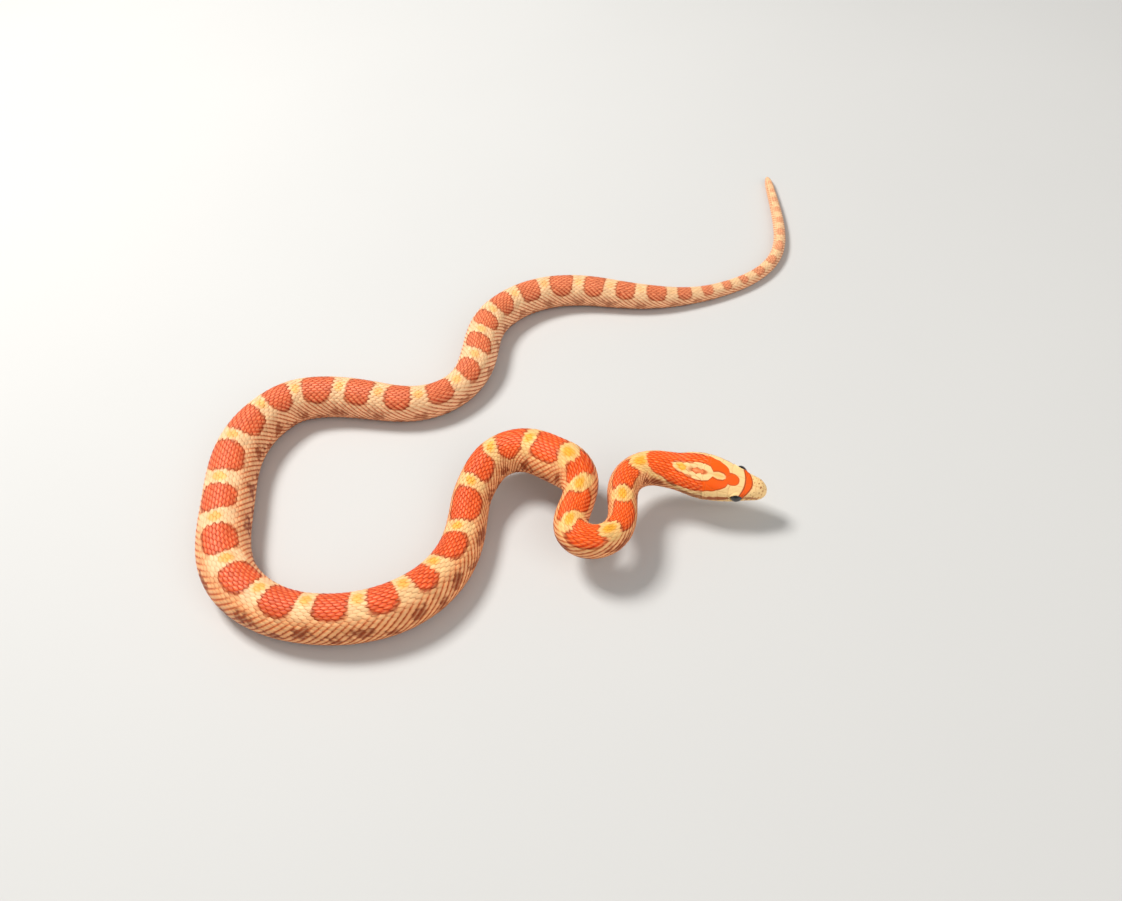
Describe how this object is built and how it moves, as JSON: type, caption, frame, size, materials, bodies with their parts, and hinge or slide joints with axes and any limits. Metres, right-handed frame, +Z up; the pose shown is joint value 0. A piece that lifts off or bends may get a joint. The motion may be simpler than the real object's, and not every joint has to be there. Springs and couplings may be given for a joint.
{
  "type": "corn snake",
  "caption": "Life-size still model of a young corn snake lying in curves on the floor, neck and head raised, with orange-red saddles on a pale ground.",
  "frame": {"origin": "on the floor, under the middle of the outline seen from above", "axes": "+Z up from the floor; -Y towards the viewer of the picture; the head points towards +X"},
  "size_m": [0.1459, 0.1332, 0.014],
  "materials": {
    "head_skin": "smooth plated scales, orange bars on a cream ground, soft gloss",
    "neck_skin": "small overlapping scales, bright orange saddles, soft gloss",
    "torso_skin": "small overlapping scales, red-orange saddles on a pale peach ground, soft gloss",
    "tail_skin": "small overlapping scales, short faded saddles on a pale ground, soft gloss",
    "eye": "dark round eye under a clear, wet-looking scale"
  },
  "bodies": {
    "root": {"head": "head_skin", "eye_right": "eye", "eye_left": "eye", "neck_1": "neck_skin", "neck_2": "neck_skin", "neck_3": "neck_skin", "torso_1": "torso_skin", "torso_2": "torso_skin", "torso_3": "torso_skin", "torso_4": "torso_skin", "torso_5": "torso_skin", "torso_6": "torso_skin", "torso_7": "torso_skin", "torso_8": "torso_skin", "tail_1": "tail_skin", "tail_2": "tail_skin"}
  },
  "joints": []
}
